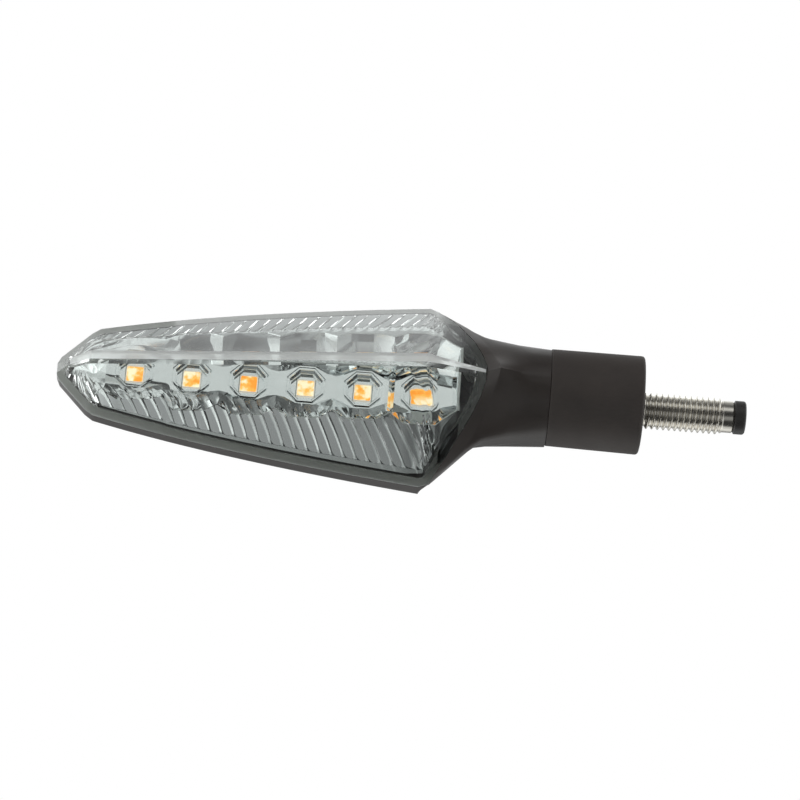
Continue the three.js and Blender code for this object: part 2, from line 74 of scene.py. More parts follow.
def make_camera():
    data = bpy.data.cameras.new("camera")
    data.lens = CAMERA_LENS
    data.sensor_width = 36.0
    data.clip_start = 0.01
    data.clip_end = 50.0
    cam = bpy.data.objects.new("camera", data)
    bpy.context.scene.collection.objects.link(cam)
    back = Vector((
        math.sin(CAMERA_AZIMUTH) * math.cos(CAMERA_ELEVATION),
        -math.cos(CAMERA_AZIMUTH) * math.cos(CAMERA_ELEVATION),
        math.sin(CAMERA_ELEVATION),
    ))
    cam.location = CAMERA_TARGET + back * CAMERA_DISTANCE
    cam.rotation_mode = "QUATERNION"
    cam.rotation_quaternion = back.to_track_quat("Z", "Y") @ Quaternion((0, 0, 1), CAMERA_ROLL)
    bpy.context.scene.camera = cam


make_camera()


# ---------------------------------------------------------------- mesh helpers

def box_mm(node):
    """Lowest and highest corner of a CAD node, in millimetres."""
    low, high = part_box(node)
    return np.array(low) / MM, np.array(high) / MM


def loft(rings):
    """Vertices and faces of a closed body through rings of equal length."""
    rings = [np.asarray(ring, float) for ring in rings]
    count = len(rings[0])
    verts = np.concatenate(rings)
    faces = []
    for r in range(len(rings) - 1):
        for i in range(count):
            a = r * count + i
            b = r * count + (i + 1) % count
            faces.append((a, b, b + count, a + count))
    faces.append(tuple(range(count))[::-1])
    last = (len(rings) - 1) * count
    faces.append(tuple(range(last, last + count)))
    return verts, faces


def make(name, verts, faces, sharp=35):
    """A mesh object from millimetre vertices, its normals facing out, smooth up to a crease angle."""
    mesh = bpy.data.meshes.new(name)
    mesh.from_pydata([tuple(v) for v in np.asarray(verts) * MM], [], [tuple(f) for f in faces])
    work = bmesh.new()
    work.from_mesh(mesh)
    bmesh.ops.remove_doubles(work, verts=work.verts, dist=1e-7)
    bmesh.ops.dissolve_degenerate(work, edges=work.edges, dist=1e-7)
    bmesh.ops.recalc_face_normals(work, faces=work.faces)
    work.to_mesh(mesh)
    work.free()
    finish_shading(mesh, sharp)
    piece = bpy.data.objects.new(name, mesh)
    bpy.context.scene.collection.objects.link(piece)
    return piece


def finish_shading(mesh, sharp):
    mesh.shade_smooth()
    mesh.set_sharp_from_angle(angle=math.radians(sharp))


def apply_modifiers(piece, sharp=35):
    """The piece's mesh with its modifiers applied."""
    bpy.context.view_layer.update()
    graph = bpy.context.evaluated_depsgraph_get()
    mesh = bpy.data.meshes.new_from_object(piece.evaluated_get(graph))
    old = piece.data
    piece.modifiers.clear()
    piece.data = mesh
    bpy.data.meshes.remove(old)
    mesh.name = piece.name
    finish_shading(mesh, sharp)
    return piece


def boolean(piece, tool, operation, sharp=35):
    """Cuts a tool piece from a piece, or joins it on, and removes the tool."""
    step = piece.modifiers.new("cut", "BOOLEAN")
    step.operation = operation
    step.object = tool
    step.solver = "MANIFOLD"
    apply_modifiers(piece, sharp)
    bpy.data.objects.remove(tool)
    return piece


def bevel(piece, width, segments=2, angle=30, sharp=35):
    step = piece.modifiers.new("bevel", "BEVEL")
    step.width = width * MM
    step.segments = segments
    step.limit_method = "ANGLE"
    step.angle_limit = math.radians(angle)
    step.harden_normals = False
    return apply_modifiers(piece, sharp)


def revolve(profile, sides, centre=(0.0, 0.0)):
    """A closed body turned about an axis along X through y, z, from x, radius points."""
    turn = np.linspace(0, 2 * math.pi, sides, endpoint=False)
    rings = [
        np.stack([np.full(sides, x), centre[0] - r * np.cos(turn), centre[1] + r * np.sin(turn)], 1)
        for x, r in profile
    ]
    return loft(rings)


def assign(piece, body, materials, replaces=()):
    """Sets what a rigid piece rides on, its materials and the CAD nodes that it stands for."""
    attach(piece, body)
    dress(piece, materials, replaces)
    return piece


def dress(piece, materials, replaces=()):
    piece.data.materials.clear()
    for material in materials:
        piece.data.materials.append(material)
    if replaces:
        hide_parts(*replaces)


# ---------------------------------------------------------------- material helpers

class Nodes:
    """A short way to write a material's node tree."""

    def __init__(self, name):
        self.material = bpy.data.materials.new(name)
        self.material.use_nodes = True
        self.tree = self.material.node_tree
        self.tree.nodes.clear()
        self.output = self.add("ShaderNodeOutputMaterial")
        self.shader = self.add("ShaderNodeBsdfPrincipled")
        self.link(self.shader.outputs[0], self.output.inputs["Surface"])
        self.coords = self.add("ShaderNodeTexCoord").outputs["Object"]

    def add(self, kind, **settings):
        node = self.tree.nodes.new(kind)
        for key, value in settings.items():
            setattr(node, key, value)
        return node

    def link(self, a, b):
        self.tree.links.new(a, b)

    def set(self, **values):
        for key, value in values.items():
            self.shader.inputs[key.replace("_", " ")].default_value = value

    def noise(self, scale, detail=4.0, roughness=0.55, distortion=0.0):
        node = self.add("ShaderNodeTexNoise")
        node.inputs["Scale"].default_value = scale
        node.inputs["Detail"].default_value = detail
        node.inputs["Roughness"].default_value = roughness
        node.inputs["Distortion"].default_value = distortion
        self.link(self.coords, node.inputs["Vector"])
        return node.outputs["Fac"]

    def ramp(self, factor, stops):
        node = self.add("ShaderNodeValToRGB")
        points = node.color_ramp.elements
        while len(points) < len(stops):
            points.new(0.5)
        for point, (place, color) in zip(points, stops):
            point.position = place
            point.color = (*color, 1.0) if len(color) == 3 else color
        self.link(factor, node.inputs["Fac"])
        return node.outputs["Color"]

    def spread(self, factor, low, high):
        node = self.add("ShaderNodeMapRange")
        node.inputs["To Min"].default_value = low
        node.inputs["To Max"].default_value = high
        self.link(factor, node.inputs["Value"])
        return node.outputs["Result"]

    def math(self, operation, a, b):
        node = self.add("ShaderNodeMath", operation=operation)
        for socket, value in zip(node.inputs, (a, b)):
            if isinstance(value, (int, float)):
                socket.default_value = value
            else:
                self.link(value, socket)
        return node.outputs[0]

    def bump(self, height, strength, distance):
        node = self.add("ShaderNodeBump")
        node.inputs["Strength"].default_value = strength
        node.inputs["Distance"].default_value = distance
        self.link(height, node.inputs["Height"])
        self.link(node.outputs["Normal"], self.shader.inputs["Normal"])


def plastic(name, dark, light, rough, grain, depth, painted_glow=0.0):
    """Moulded plastic or rubber: two close tones, uneven gloss and a fine grain. A glow above nought paints
    light onto the part as a warm emission, though the part is no lamp.
    """
    n = Nodes(name)
    # A glow strength above nought is painted light: a warm emission that stands in for light falling on the
    # part.
    n.set(Emission_Color=(1.0, 0.93, 0.8, 1.0), Emission_Strength=painted_glow)
    tone = n.noise(60.0, 5.0)
    n.link(n.ramp(tone, [(0.35, dark), (0.7, light)]), n.shader.inputs["Base Color"])
    n.link(n.spread(n.noise(140.0, 6.0), *rough), n.shader.inputs["Roughness"])
    n.bump(n.math("ADD", n.noise(grain, 3.0), n.math("MULTIPLY", n.noise(grain / 9, 2.0), 0.6)), 0.35, depth)
    return n.material


def metal(name, dark, light, rough, scale):
    n = Nodes(name)
    n.set(Metallic=1.0)
    n.link(n.ramp(n.noise(scale / 4, 4.0), [(0.3, dark), (0.75, light)]), n.shader.inputs["Base Color"])
    n.link(n.spread(n.noise(scale, 6.0, 0.65, 0.4), *rough), n.shader.inputs["Roughness"])
    n.bump(n.noise(scale * 2, 3.0), 0.12, 0.00002)
    return n.material


def clear_plastic(name, tint, shadow_tint, frost=0.0):
    """Clear plastic, frosted by a share. Lamp light passes straight through, to light what is inside."""
    n = Nodes(name)
    n.set(Base_Color=(*tint, 1.0), Transmission_Weight=1.0 - frost, IOR=1.49)
    n.link(n.spread(n.noise(90.0, 4.0), frost * 0.5, 0.035 + frost * 0.6), n.shader.inputs["Roughness"])
    n.bump(n.noise(45.0, 2.0), 0.05, 0.00003)
    clear = n.add("ShaderNodeBsdfTransparent")
    clear.inputs["Color"].default_value = (*shadow_tint, 1.0)
    mix = n.add("ShaderNodeMixShader")
    path = n.add("ShaderNodeLightPath")
    n.link(path.outputs["Is Shadow Ray"], mix.inputs[0])
    n.link(n.shader.outputs[0], mix.inputs[1])
    n.link(clear.outputs[0], mix.inputs[2])
    n.link(mix.outputs[0], n.output.inputs["Surface"])
    return n.material


def phosphor(name):
    """Amber phosphor: yellow-orange grains with paler, hotter patches."""
    n = Nodes(name)
    hot = n.noise(520.0, 2.0, 0.5)
    color = n.ramp(hot, [(0.36, (1.0, 0.34, 0.03)), (0.48, (1.0, 0.5, 0.1)), (0.6, (1.0, 0.86, 0.56))])
    n.link(color, n.shader.inputs["Base Color"])
    n.link(color, n.shader.inputs["Emission Color"])
    n.set(Emission_Strength=0.9, Roughness=0.35)
    n.bump(n.noise(1500.0, 2.0), 0.3, 0.00005)
    return n.material


def laminate(name):
    """Green solder mask over darker copper tracks, with glass-cloth grain."""
    n = Nodes(name)
    tracks = n.add("ShaderNodeTexBrick")
    tracks.inputs["Scale"].default_value = 180.0
    tracks.inputs["Color1"].default_value = (0.02, 0.16, 0.08, 1)
    tracks.inputs["Color2"].default_value = (0.025, 0.2, 0.1, 1)
    tracks.inputs["Mortar"].default_value = (0.01, 0.09, 0.05, 1)
    tracks.inputs["Mortar Size"].default_value = 0.03
    n.link(n.coords, tracks.inputs["Vector"])
    n.link(tracks.outputs["Color"], n.shader.inputs["Base Color"])
    n.link(n.spread(n.noise(500.0), 0.3, 0.5), n.shader.inputs["Roughness"])
    n.bump(tracks.outputs["Fac"], 0.4, 0.00004)
    return n.material


HOUSING = plastic("housing_plastic", (0.022, 0.0172, 0.015), (0.033, 0.026, 0.0228), (0.32, 0.5), 1500.0,
                  0.00006)
RUBBER = plastic("stalk_rubber", (0.026, 0.0202, 0.0176), (0.039, 0.0305, 0.0266), (0.55, 0.75), 1100.0,
                 0.00009)
BUSH = plastic("bush_plastic", (0.012, 0.011, 0.0105), (0.022, 0.02, 0.019), (0.35, 0.55), 1800.0, 0.00004)
SEALANT = plastic("sealant", (0.1, 0.1, 0.095), (0.16, 0.16, 0.15), (0.35, 0.6), 700.0, 0.00008)
CHIP = plastic("chip_black", (0.01, 0.01, 0.01), (0.02, 0.02, 0.02), (0.4, 0.6), 2200.0, 0.00003)
CERAMIC = plastic("ceramic_tan", (0.36, 0.25, 0.14), (0.5, 0.38, 0.24), (0.4, 0.6), 1500.0, 0.00003)
LEAD_RED = plastic("lead_red", (0.35, 0.015, 0.01), (0.5, 0.03, 0.02), (0.35, 0.55), 900.0, 0.00004)
LEAD_BLACK = plastic("lead_black", (0.012, 0.012, 0.012), (0.025, 0.025, 0.025), (0.35, 0.55), 900.0, 0.00004)
# The LED package's glow is painted light: a warm emission standing in for light spilling from the phosphor
# onto the white package.
LED_PACKAGE_PAINTED_GLOW = plastic("led_white_painted_glow", (0.78, 0.78, 0.74), (0.9, 0.9, 0.86), (0.25, 0.4), 2000.0, 0.00002, painted_glow=0.4)
STEEL = metal("plated_steel", (0.62, 0.59, 0.54), (0.8, 0.77, 0.7), (0.14, 0.32), 500.0)
SOLDER = metal("solder", (0.5, 0.5, 0.52), (0.7, 0.7, 0.72), (0.2, 0.4), 700.0)
BRASS = metal("contact_brass", (0.7, 0.5, 0.2), (0.85, 0.65, 0.3), (0.15, 0.35), 600.0)
CHROME = metal("reflector_chrome", (0.78, 0.81, 0.81), (0.88, 0.9, 0.9), (0.02, 0.09), 260.0)
# Painted highlight: a pale diffuse grey put on the reflector's crest in place of chrome, standing in for the
# crest's bright line.
CREST_PAINTED_HIGHLIGHT = plastic("reflector_crest_painted_highlight", (0.6, 0.62, 0.6), (0.75, 0.77, 0.75), (0.3, 0.5), 1200.0, 0.00003)
LENS = clear_plastic("lens_clear", (0.93, 0.95, 0.935), (0.8, 0.84, 0.82))
RIDGE_FROST = clear_plastic("lens_ridge", (0.93, 0.95, 0.935), (0.8, 0.84, 0.82), frost=0.5)
WELD_FROST = clear_plastic("lens_weld", (0.5, 0.51, 0.48), (0.8, 0.84, 0.82), frost=0.9)
PHOSPHOR = phosphor("led_phosphor")
LAMINATE = laminate("board_laminate")


# ---------------------------------------------------------------- lens outline

RIM_Y = box_mm("lens")[1][1]
LENS_LAND = 0.8
NOSE = [(-127.2, 1.2), (-126.5, 2.7)]
TIP_CORNER = [(-120.4, 9.1), (-118.6, 10.4)]
EDGE_CONTROL = (-90.6, 17.2)
SHOULDER = [(-47.0, 21.7), (-44.9, 20.9)]
LENS_END = [(-41.0, -4.2, 15.5), (-37.0, -8.6, 9.0), (-35.2, -10.4, 5.0), (-34.2, -12.3, 1.5)]
RIDGE = np.array([(-124.2, -2.6), (-119.6, -6.5), (-47.3, -17.2), (-34.4, -12.9)])
RIDGE_HALF = 1.0
EDGE_STEPS = 48
LENS_WALL = 2.3
LENS_SKIN = 2.1


def ridge_y(x):
    return np.interp(x, RIDGE[:, 0], RIDGE[:, 1])


def lens_stations():
    """Stations round the upper half of the lens: place along the edge, edge point, ridge point."""
    land = RIM_Y - LENS_LAND
    rims = []
    ridges = []
    tip = [*NOSE, TIP_CORNER[0]]
    for i, (x, z) in enumerate(tip):
        ridge_x = RIDGE[0][0] + (RIDGE[1][0] - RIDGE[0][0]) * i / 3
        rims.append((x, land, z))
        ridges.append((ridge_x, ridge_y(ridge_x), RIDGE_HALF * (0.7 + i / 10)))
    start, control, end = np.array(TIP_CORNER[1]), np.array(EDGE_CONTROL), np.array(SHOULDER[0])
    for i in range(EDGE_STEPS + 1):
        t = i / EDGE_STEPS
        x, z = start * (1 - t) ** 2 + 2 * control * t * (1 - t) + end * t * t
        ridge_x = RIDGE[1][0] + (RIDGE[2][0] - RIDGE[1][0]) * t
        rims.append((x, land, z))
        ridges.append((ridge_x, ridge_y(ridge_x), RIDGE_HALF))
    tail = [(SHOULDER[1][0], land, SHOULDER[1][1]), *LENS_END]
    for i, rim in enumerate(tail):
        t = i / len(LENS_END)
        ridge_x = RIDGE[2][0] + 0.5 + (RIDGE[3][0] - RIDGE[2][0] - 0.5) * t ** 1.5
        rims.append(rim)
        ridges.append((ridge_x, ridge_y(ridge_x), RIDGE_HALF * (1 - 0.6 * t)))
    rims, ridges = np.array(rims), np.array(ridges)
    place = np.concatenate([[0], np.cumsum(np.linalg.norm(np.diff(rims, axis=0), axis=1))])
    return place, rims, ridges


PLACE, RIMS, RIDGES = lens_stations()


def at_place(table, place):
    """Rows of a station table at places along the edge."""
    return np.stack([np.interp(place, PLACE, table[:, k]) for k in range(table.shape[1])], -1)


def inset(outline, distance):
    """Each corner of a closed outline of x, z points moved inwards."""
    before = outline - np.roll(outline, 1, 0)
    after = np.roll(outline, -1, 0) - outline
    before /= np.linalg.norm(before, axis=1)[:, None]
    after /= np.linalg.norm(after, axis=1)[:, None]
    corner = np.stack([before[:, 1] + after[:, 1], -before[:, 0] - after[:, 0]], 1)
    return outline + corner * (distance / (1 + (before * after).sum(1)))[:, None]


def mirrored(upper):
    """A closed outline from its upper half."""
    return np.concatenate([upper, upper[::-1] * (1, -1)])


OUTLINE = mirrored(RIMS[:, [0, 2]])


def inset_half(distance):
    return inset(OUTLINE, distance)[: len(RIMS)]


# ---------------------------------------------------------------- lens

FLUTE_PITCH = 2.68
FLUTE_STEPS = 10
FLUTE_DEPTH = 0.75
FLUTE_LEAN = 1.15
FLUTE_CURVE = 0.28
FLUTE_PHASE = 0.62
PLAIN_TAIL = 22.0
INNER_RIM_DEPTH = 0.45
TIP_ZONE = (0.25, 0.97)
TIP_PLACE = float(np.interp(TIP_CORNER[1][0], RIMS[:4, 0], PLACE[:4]))
UPPER_ZONE = (0.6, 0.99)
LOWER_ZONE = (0.43, 0.93)


def whole_ring(upper, lower):
    """A ring across the lens from its upper half, edge to ridge, and its lower half, given upside up."""
    lower = np.asarray(lower) * (1, 1, -1)
    return np.concatenate([upper, lower[::-1]])


def outer_lens():
    rings = []
    for rim, ridge in zip(RIMS, RIDGES):
        foot = (rim[0], RIM_Y, rim[2])
        low_rim = (rim[0], rim[1] + 0.12, rim[2])
        turned = rim + (ridge - rim) * 0.008
        half = [foot, low_rim, turned, ridge]
        rings.append(whole_ring(half, half))
    return make("lens_outer", *loft(rings))


def flute(place, t, zone):
    """How far the flutes stand off the lens's inner face, for a column that starts at a place."""
    low, high = zone
    share = np.mod(place / FLUTE_PITCH, 1.0)
    hump = 1 - (2 * share - 1) ** 2
    end = np.clip((high - t) / 0.05, 0, 1) ** 0.5
    start = np.clip((t - low) / 0.06, 0, 1)
    return FLUTE_DEPTH * hump * end * start


def inner_half(column, levels, zone, inner_rims):
    """One ring half of the lens's inner face, edge to ridge."""
    points = []
    leaning = np.clip(column / TIP_PLACE, 0, 1)
    lean = FLUTE_LEAN * leaning * min(at_place(RIMS, np.clip(column + 6, 0, PLACE[-1]))[2], SHOULDER[0][1])
    phase = column + lean * FLUTE_PHASE
    for t in levels:
        place = float(np.clip(column + lean * (t - FLUTE_CURVE * t * t), 0, PLACE[-1]))
        x, z = at_place(inner_rims, place)
        y = at_place(RIMS, place)[1] + INNER_RIM_DEPTH
        ridge_x, top, half = at_place(RIDGES, place)
        ridge_x = min(max(ridge_x, inner_rims[0][0] + 0.5), inner_rims[-1][0] - 0.3)
        ridge = np.array((ridge_x, top + LENS_SKIN, min(half, z * 0.6)))
        rim = np.array((x, y, z))
        local_zone = TIP_ZONE if place < TIP_PLACE else zone
        point = ridge + (rim - ridge) * t
        fade = np.clip((PLACE[-1] - PLAIN_TAIL - place) / 2.5, 0, 1)
        point[1] += flute(phase, t, local_zone) * fade * min(1.0, abs(point[2]) / 3)
        points.append(point)
    foot = (points[0][0], RIM_Y + 1.0, points[0][2])
    return [foot, *points]


def levels_for(zone):
    low, high = zone
    fine = high - 0.05 * (1 - np.linspace(0, 1, 6)) ** 1.5
    return np.concatenate([[1.0], fine[::-1], np.linspace(high - 0.08, low, 8), [low - 0.004, low / 2, 0.0]])


def inner_lens():
    inner_rims = inset_half(LENS_WALL)
    step = FLUTE_PITCH / FLUTE_STEPS
    columns = np.arange(0, PLACE[-1] + step, step)
    rings = []
    for column in columns:
        upper = inner_half(column, levels_for(UPPER_ZONE), UPPER_ZONE, inner_rims)
        lower = inner_half(column, levels_for(LOWER_ZONE), LOWER_ZONE, inner_rims)
        rings.append(whole_ring(upper, lower))
    return make("lens_inner", *loft(rings))


def make_lens():
    piece = boolean(outer_lens(), inner_lens(), "DIFFERENCE", sharp=24)
    piece.name = "clear_lens"
    assign(piece, "lamp", [LENS, RIDGE_FROST, WELD_FROST], ["lens"])
    for face in piece.data.polygons:
        x, y, z = np.array(face.center) / MM
        on_strip = abs(z) < RIDGE_HALF and y < ridge_y(x) + 0.3 and x > RIDGE[0][0]
        on_weld = y > RIM_Y - 0.02 and face.normal.y > 0.9
        face.material_index = 1 if on_strip else 2 if on_weld else 0


make_lens()


# ---------------------------------------------------------------- rear housing

WALL_BACK_Y = 4.3
BACK_LINE = np.array([(-127.2, 6.6), (-47.0, 11.0), (-41.0, 11.0), (-35.0, 9.6)])
TIP_TUCK = 1.8
TIP_TUCK_LENGTH = 6.0
SHELL_FLAT = 0.55
RIM_JOINT = 0.06
SHELL = 1.7
CAVITY_INSET = 3.3
SEAM_X = -20.4
SEAM_GAP = 0.08
SHELL_ENDS = [(-42.4, 18.1, 15.1), (-38.0, 12.4, 11.0)]
NECK_RINGS = [
    dict(
        front=[(-34.0, -12.9, 0), (-34.2, -12.3, 1.5), (-35.2, -10.4, 5.0), (-37.0, -8.6, 9.0),
               (-41.0, -4.2, 15.5), (-44.9, 1.1, 20.9), (-44.9, 2.3, 20.9)],
        wall=(4.3, 18.0), back=(-44.9, 11.0), flat=0.55,
    ),
    dict(
        front=[(-31.4, -15.0, 0), (-31.6, -13.9, 1.6), (-32.6, -11.0, 4.7), (-34.3, -8.4, 8.6),
               (-37.2, -3.6, 14.2), (-42.4, -0.2, 18.8), (-42.4, 2.3, 18.2)],
        wall=(4.3, 15.2), back=(-40.5, 11.1), flat=0.55,
    ),
    dict(
        front=[(-27.2, -13.6, 0), (-27.5, -13.1, 1.9), (-28.8, -11.2, 5.2), (-31.2, -8.2, 9.2),
               (-34.0, -4.2, 12.8), (-36.0, 0.5, 12.0), (-36.0, 2.2, 11.2)],
        wall=(3.6, 9.4), back=(-34.5, 9.8), flat=0.35,
    ),
    dict(
        front=[(-24.6, -13.2, 0), (-24.7, -12.9, 2.6), (-25.2, -11.5, 5.8), (-26.4, -8.9, 8.6),
               (-27.6, -5.3, 11.0), (-28.6, -1.2, 11.2), (-28.6, -0.4, 10.9)],
        wall=(0.4, 10.2), back=(-28.0, 8.6), flat=0.15,
    ),
    dict(
        front=[(SEAM_X, -13.1, 0), (SEAM_X, -12.8, 2.7), (SEAM_X, -11.6, 5.6), (SEAM_X, -9.5, 8.0),
               (SEAM_X, -6.4, 9.8), (SEAM_X, -2.7, 10.4), (SEAM_X, -2.0, 10.45)],
        wall=(-1.4, 10.4), back=(SEAM_X, 7.7), flat=0.1,
    ),
]


def back_y(x):
    tuck = TIP_TUCK * max(1 - (x - NOSE[0][0]) / TIP_TUCK_LENGTH, 0) ** 2
    return np.interp(x, BACK_LINE[:, 0], BACK_LINE[:, 1]) - tuck


def back_curve(wall, back, flat, steps=8):
    """The back of a section, from its side wall round towards the middle, as y and z."""
    turn = np.linspace(0, math.pi / 2, steps)
    return wall[0] + (back - wall[0]) * np.sin(turn), wall[1] * (flat + (1 - flat) * np.cos(turn))


def shell_behind(sections, front, skin):
    """The shell behind sections of x, half height in front and half height at the wall."""
    rings = []
    for x, half, wall_half in sections:
        y, z = back_curve((WALL_BACK_Y, wall_half), back_y(x) - skin, SHELL_FLAT)
        ring = [(x, front, half), *zip(np.full(len(y), x), y, z)]
        rings.append(whole_ring(ring, ring))
    return loft(rings)


def smooth_front(points, steps=4):
    """A front curve with rounded corners, through the ends and near its other points."""
    points = np.array(points, float)
    knots = np.arange(len(points))
    places = np.linspace(0, len(points) - 1, (len(points) - 1) * steps + 1)
    fine = np.stack([np.interp(places, knots, points[:, k]) for k in range(3)], 1)
    for _ in range(2):
        fine[1:-1] = (fine[:-2] + 2 * fine[1:-1] + fine[2:]) / 4
    return fine


def neck_ring(row):
    front = smooth_front(row["front"])
    back_x, back_middle = row["back"]
    y, z = back_curve(row["wall"], back_middle, row["flat"])
    x = front[-1][0] + (back_x - front[-1][0]) * np.linspace(0, 1, len(y))
    upper = np.concatenate([front[1:], np.stack([x, y, z], 1)])
    return np.concatenate([front[:1], upper, [(back_x, back_middle + 0.15, 0)], upper[::-1] * (1, 1, -1)])


def neck_rings():
    """The neck's rings, with a rounded crest and soft changes between the others."""
    rings = [neck_ring(row) for row in NECK_RINGS]
    crest = [rings[1] + (rings[0] - rings[1]) * 0.14, rings[1] * 0.985 + (rings[0] + rings[2]) * 0.0075,
             rings[1] + (rings[2] - rings[1]) * 0.08]
    out = [rings[0], *crest]
    for k in range(2, len(rings)):
        for t in (0.25, 0.5, 0.75, 1.0):
            before = rings[k - 1]
            here = before + (rings[k] - before) * t
            if k > 2:
                ease = t * t * (3 - 2 * t)
                here = before + (rings[k] - before) * (0.5 * t + 0.5 * ease)
            out.append(here)
    return out


def make_housing():
    straight = [(x, z, z) for x, _, z in RIMS[: -len(LENS_END) - 1]]
    shoulder = (*SHOULDER[1], NECK_RINGS[0]["wall"][1])
    piece = make("rear_shell", *shell_behind([*straight, shoulder, *SHELL_ENDS], RIM_Y + RIM_JOINT, 0))
    neck = make("neck", *loft(neck_rings()))
    boolean(piece, neck, "UNION")
    room = inset(OUTLINE, -RIM_JOINT)
    tool = make("room", *loft([[(x, y, z) for x, z in room] for y in (-30.0, RIM_Y + RIM_JOINT)]))
    boolean(piece, tool, "DIFFERENCE")
    cavity = make("cavity", *shell_behind([(x, z, z) for x, z in inset_half(CAVITY_INSET)], RIM_Y - 1, SHELL))
    boolean(piece, cavity, "DIFFERENCE", sharp=28)
    assign(piece, "lamp", [HOUSING], ["rear_housing"])
    piece.name = "housing_shell"


make_housing()


# ---------------------------------------------------------------- light sources

LED_COUNT = 6
LED_PROUD = 0.6
LED_WELL = 0.1
LED_CORNER = 0.3


def led_middle(i):
    low, high = box_mm(f"led_{i + 1}")
    return (low + high) / 2, (high - low) / 2


def square(half, corner, steps=4):
    """A square outline with rounded corners, as x, z offsets."""
    points = []
    for quarter in range(4):
        turn = np.linspace(0, math.pi / 2, steps) + quarter * math.pi / 2
        diagonal = math.pi / 4 + quarter * math.pi / 2
        centre = np.sign([math.cos(diagonal), math.sin(diagonal)]) * (half - corner)
        points.extend(centre + corner * np.stack([np.cos(turn), np.sin(turn)], 1))
    return np.array(points)


def make_led(i):
    middle, reach = led_middle(i)
    front, back = middle[1] - reach[1] - LED_PROUD, middle[1] + reach[1]
    half = reach[0]
    steps = [(half, back), (half, front + 0.15), (half - 0.07, front), (half - 0.18, front),
             (half - 0.24, front + LED_WELL)]
    rings = [[(middle[0] + x, y, middle[2] + z) for x, z in square(size, LED_CORNER)] for size, y in steps]
    verts, faces = loft(rings)
    piece = make(f"led_package_{i + 1}", verts, faces, sharp=30)
    # The package material carries a painted glow, a warm emission standing in for spilled light.
    assign(piece, "lamp", [LED_PACKAGE_PAINTED_GLOW, PHOSPHOR], [f"led_{i + 1}"])
    for face in piece.data.polygons:
        inside = abs(face.center[1] / MM - (front + LED_WELL)) < 0.02 and len(face.vertices) > 4
        face.material_index = 1 if inside else 0


for led_index in range(LED_COUNT):
    make_led(led_index)


# ---------------------------------------------------------------- reflector

PLATE_Y = -0.3
CUP_MOUTH = 8.4
CUP_SEAT = 6.7
CUP_SEAT_Y = 1.15
REFLECTOR_INSET = 2.8
REFLECTOR_EDGE_Y = RIM_Y - 0.5
REFLECTOR_SKIN = 0.9
WINDOW_HALF = 2.12
WINDOW_BACK_Y = 2.2
CELL_HALF = 6.2
LAST_CELL_HALF = 8.0
CREST_HALF = [6.6, 8.4, 9.0, 9.3, 9.4, 10.0]
VALLEY_DROP = 1.4
LAST_VALLEY_DROP = 3.2
BOWL_INSIDE = 1.4
LIP = 0.3
REFLECTOR_TIP = [(-119.6, 6.3), (-122.3, 3.0), (-123.2, 1.0)]


def edge_half(x):
    """Half height of the reflector's edge at x."""
    half = inset_half(REFLECTOR_INSET)
    return float(np.interp(x, half[:-3, 0], half[:-3, 1]))


def lens_inside(x, z):
    """y of the lens's inner face at x, z."""
    top = float(ridge_y(x))
    rim = float(np.interp(min(x, SHOULDER[0][0]), RIMS[:-5, 0], RIMS[:-5, 2]))
    slope = (RIM_Y - LENS_LAND - top) / (rim - RIDGE_HALF)
    return top + slope * max(abs(z) - RIDGE_HALF, 0) + LENS_SKIN


def crest_y(x, z):
    return min(lens_inside(x, z) + FLUTE_DEPTH + 0.15, RIM_Y - 0.9)


RING_POINTS = 12
RIGHT_SIDE, LEFT_SIDE = 5, 11
STAGES = {
    "steep": ([1.5, 1.7, 1.3, 1.3, 1.7, 1.5], [0.7, 0.78, 0.68, 0.68, 0.78, 0.7]),
    "wall": (
        [(6.2, 3.7), (4.9, 4.2), (1.7, 5.5), (1.7, 5.5), (4.9, 4.2), (6.2, 3.7)],
        [0.42, 0.46, 0.42, 0.42, 0.46, 0.42],
    ),
    "floor": ([(6.2, 2.8), (4.4, 3.1), (1.6, 4.5), (1.6, 4.5), (4.4, 3.1), (6.2, 2.8)], [0.0] * 6),
}
CREST_X = [-6.2, -3.2, -1.7, 1.7, 3.4, 6.2]
SIDE_STEP = {"steep": 0.15, "wall": 0.35, "floor": 0.6}
BOWL_STAGES = ("edge", "lip", "crest", *STAGES)


def crest_points(i):
    """The scalloped crest over one light source: x offsets, heights and y. Its ends meet the next cells."""
    h = CREST_HALF[i]
    last = i == LED_COUNT - 1
    before = (h + CREST_HALF[i - 1]) / 2 if i else h
    after = h if last else (h + CREST_HALF[i + 1]) / 2
    xs = [*CREST_X[:5], LAST_CELL_HALF if last else CELL_HALF]
    zs = [before - VALLEY_DROP, h, h, h, h, after - (LAST_VALLEY_DROP if last else VALLEY_DROP)]
    x0 = led_middle(i)[0][0]
    return xs, zs, [crest_y(x0 + x, z) for x, z in zip(xs, zs)]


def bowl_points(i, stage):
    """The upper half of a ring on the scalloped bowl: x, z offsets and y of its 6 points."""
    x0 = led_middle(i)[0][0]
    xs, zs, tops = crest_points(i)
    if stage == "edge":
        return [(x, edge_half(x0 + x)) for x in xs], [REFLECTOR_EDGE_Y] * 6
    if stage in ("lip", "crest"):
        grow = LIP if stage == "lip" else 0.0
        return [(x, z + grow) for x, z in zip(xs, zs)], tops
    rows, shares = STAGES[stage]
    if stage == "steep":
        pts = [(x, z - row) for x, z, row in zip(xs, zs, rows)]
    else:
        pts = [(math.copysign(x, at), min(z, top - BOWL_INSIDE)) for (x, z), at, top in zip(rows, xs, zs)]
        if i == LED_COUNT - 1:
            pts[5] = (xs[5], pts[5][1])
    return pts, [PLATE_Y + (top - PLATE_Y) * share for top, share in zip(tops, shares)]


